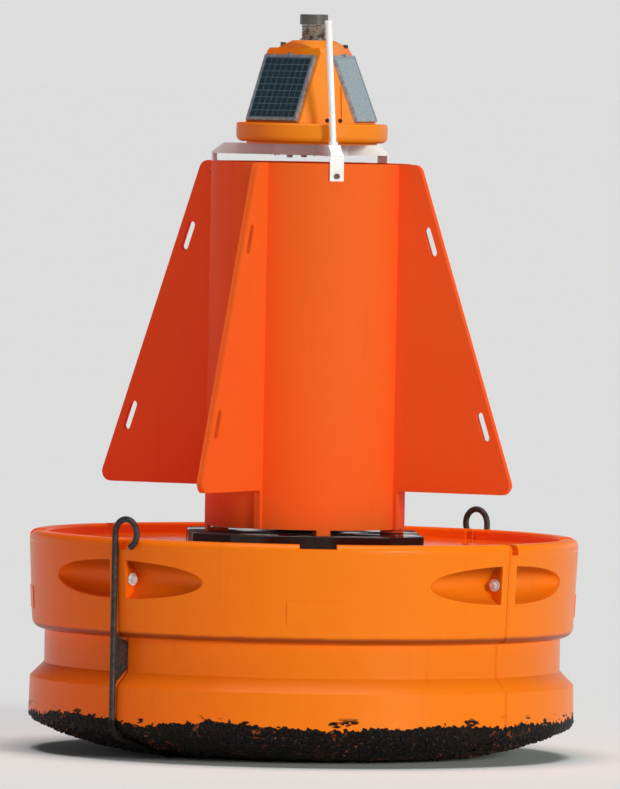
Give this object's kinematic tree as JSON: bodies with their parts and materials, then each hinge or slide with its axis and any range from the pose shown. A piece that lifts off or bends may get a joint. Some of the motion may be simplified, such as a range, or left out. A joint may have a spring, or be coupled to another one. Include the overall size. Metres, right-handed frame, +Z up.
{
  "type": "water quality monitoring buoy",
  "caption": "Round moulded float with a finned daymark tower and a solar lantern; it floats moored, marks its place and carries water sensors.",
  "frame": {"origin": "middle of the float's flat bottom, on the ground it stands on", "axes": "+Z up through the lantern, +X along the mooring bar, -Y the front seen in the picture"},
  "size_m": [1.7998, 1.7998, 2.4225],
  "materials": {
    "float_orange": "satin, weathered, fouled below the waterline",
    "tower_orange": "satin",
    "lantern_orange": "gloss",
    "base_black": "satin, scuffed",
    "galvanised": "dull",
    "rod_steel": "dark, weathered",
    "stainless": "satin, a little rust",
    "frame_white": "gloss, weathered",
    "panel_frame": "satin",
    "solar_cells": "gloss",
    "lens_clear": "gloss",
    "cap_grey": "satin",
    "black_plastic": "matt"
  },
  "bodies": {
    "root": {"bottom_plate": "galvanised", "core_tube": "galvanised", "float_back": "float_orange", "float_front": "float_orange", "float_left": "float_orange", "float_right": "float_orange", "frame_tab_bolts": "stainless", "lantern_bolts": "stainless", "lantern_cap": "cap_grey", "lantern_emitter": "black_plastic", "lantern_fitting": "cap_grey", "lantern_frame": "frame_white", "lantern_housing": "lantern_orange", "lantern_lens": "lens_clear", "lantern_ring": "lantern_orange", "lantern_vent": "black_plastic", "lens_latch": "stainless", "lifting_rod_left": "rod_steel", "lifting_rod_right": "rod_steel", "mooring_bar": "galvanised", "plate_bolts": "galvanised", "pole": "frame_white", "seam_bolt_back_left": "stainless", "seam_bolt_back_right": "stainless", "seam_bolt_front_left": "stainless", "seam_bolt_front_right": "stainless", "solar_clips": "panel_frame", "solar_frame_1": "panel_frame", "solar_frame_2": "panel_frame", "solar_frame_3": "panel_frame", "solar_glass_1": "solar_cells", "solar_glass_2": "solar_cells", "solar_glass_3": "solar_cells", "tower_base": "base_black", "tower_foot_bolts": "stainless", "tower_panel_1": "tower_orange", "tower_panel_2": "tower_orange", "tower_panel_3": "tower_orange", "tower_panel_4": "tower_orange", "web_screws": "stainless"}
  },
  "joints": []
}
